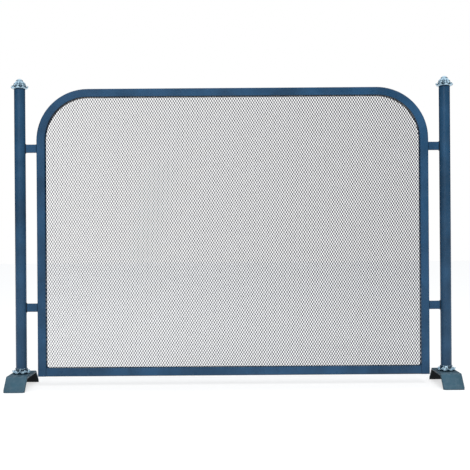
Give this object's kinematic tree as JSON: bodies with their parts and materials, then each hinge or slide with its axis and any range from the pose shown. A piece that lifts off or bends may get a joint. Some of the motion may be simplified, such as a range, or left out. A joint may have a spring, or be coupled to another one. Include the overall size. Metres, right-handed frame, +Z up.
{
  "type": "fireplace screen",
  "caption": "Free-standing spark screen: arched steel frame with expanded-metal mesh, hung by short straps between two round posts with flower finials and bent-strip feet.",
  "frame": {"origin": "on the floor, midway between the two posts, in the plane of the mesh", "axes": "+X along the screen to the right seen from the front, +Y from front to back, +Z up"},
  "size_m": [0.65, 0.1, 0.45],
  "materials": {
    "frame_paint": "satin dark steel-blue stove enamel on steel tube and strap",
    "post_paint": "semi-gloss dark steel-blue enamel on round tube",
    "foot_paint": "satin grey-blue enamel on bent strip",
    "mesh_paint": "thin dark enamel on expanded steel",
    "chrome": "polished bright plating on cast flowers and buds",
    "zinc_steel": "zinc-plated screws, studs and washers",
    "plain_steel": "plain turned steel plugs"
  },
  "bodies": {
    "root": {"frame_hoop": "frame_paint", "bottom_rail": "frame_paint", "mesh_panel": "mesh_paint", "post_left": "post_paint", "strap_upper_left": "frame_paint", "strap_lower_left": "frame_paint", "top_insert_left": "plain_steel", "bottom_insert_left": "plain_steel", "finial_rosette_left": "chrome", "finial_bud_left": "chrome", "finial_stud_left": "zinc_steel", "base_rosette_left": "chrome", "foot_left": "foot_paint", "foot_washer_left": "zinc_steel", "foot_screw_left": "zinc_steel", "post_right": "post_paint", "strap_upper_right": "frame_paint", "strap_lower_right": "frame_paint", "top_insert_right": "plain_steel", "bottom_insert_right": "plain_steel", "finial_rosette_right": "chrome", "finial_bud_right": "chrome", "finial_stud_right": "zinc_steel", "base_rosette_right": "chrome", "foot_right": "foot_paint", "foot_washer_right": "zinc_steel", "foot_screw_right": "zinc_steel"}
  },
  "joints": []
}
